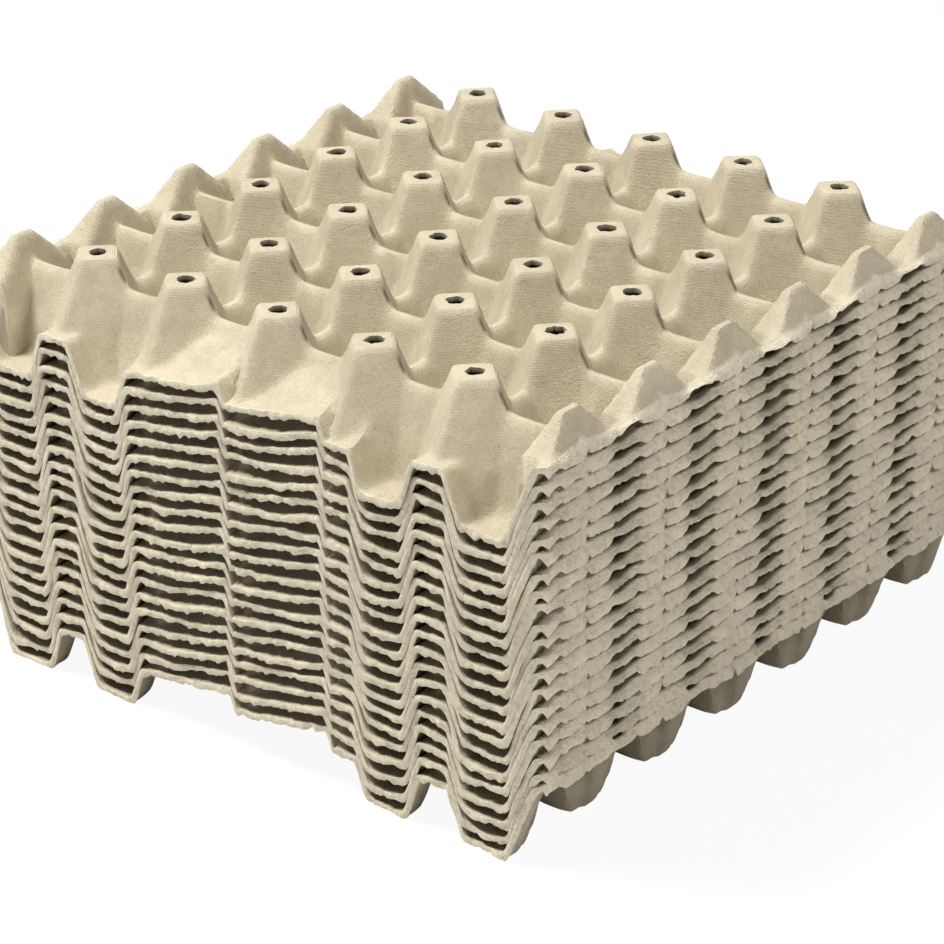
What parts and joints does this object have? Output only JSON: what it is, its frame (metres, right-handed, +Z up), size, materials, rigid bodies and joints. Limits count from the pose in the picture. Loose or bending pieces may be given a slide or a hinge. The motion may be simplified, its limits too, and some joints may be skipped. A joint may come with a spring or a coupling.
{
  "type": "stack of pulp egg trays",
  "caption": "Nested stack of square moulded pulp egg trays with tapered posts, creased ridges between the egg cells, turned-down side lips and open, ragged ends.",
  "frame": {"origin": "centre of the stack's bounding box on the surface it stands on, under the bottom tray's cups", "axes": "+Z up through the stack, +X along the rows of six egg cells towards a rim side, -Y towards the front end with the ledges"},
  "size_m": [0.2988, 0.2986, 0.183],
  "materials": {
    "pulp": "matt, fibrous grey-beige moulded pulp with ragged cut edges"
  },
  "bodies": {
    "root": {"tray_01": "pulp", "tray_02": "pulp", "tray_03": "pulp", "tray_04": "pulp", "tray_05": "pulp", "tray_06": "pulp", "tray_07": "pulp", "tray_08": "pulp", "tray_09": "pulp", "tray_10": "pulp", "tray_11": "pulp", "tray_12": "pulp", "tray_13": "pulp", "tray_14": "pulp", "tray_15": "pulp", "tray_16": "pulp", "tray_17": "pulp", "tray_18": "pulp", "tray_19": "pulp", "tray_20": "pulp"}
  },
  "joints": []
}
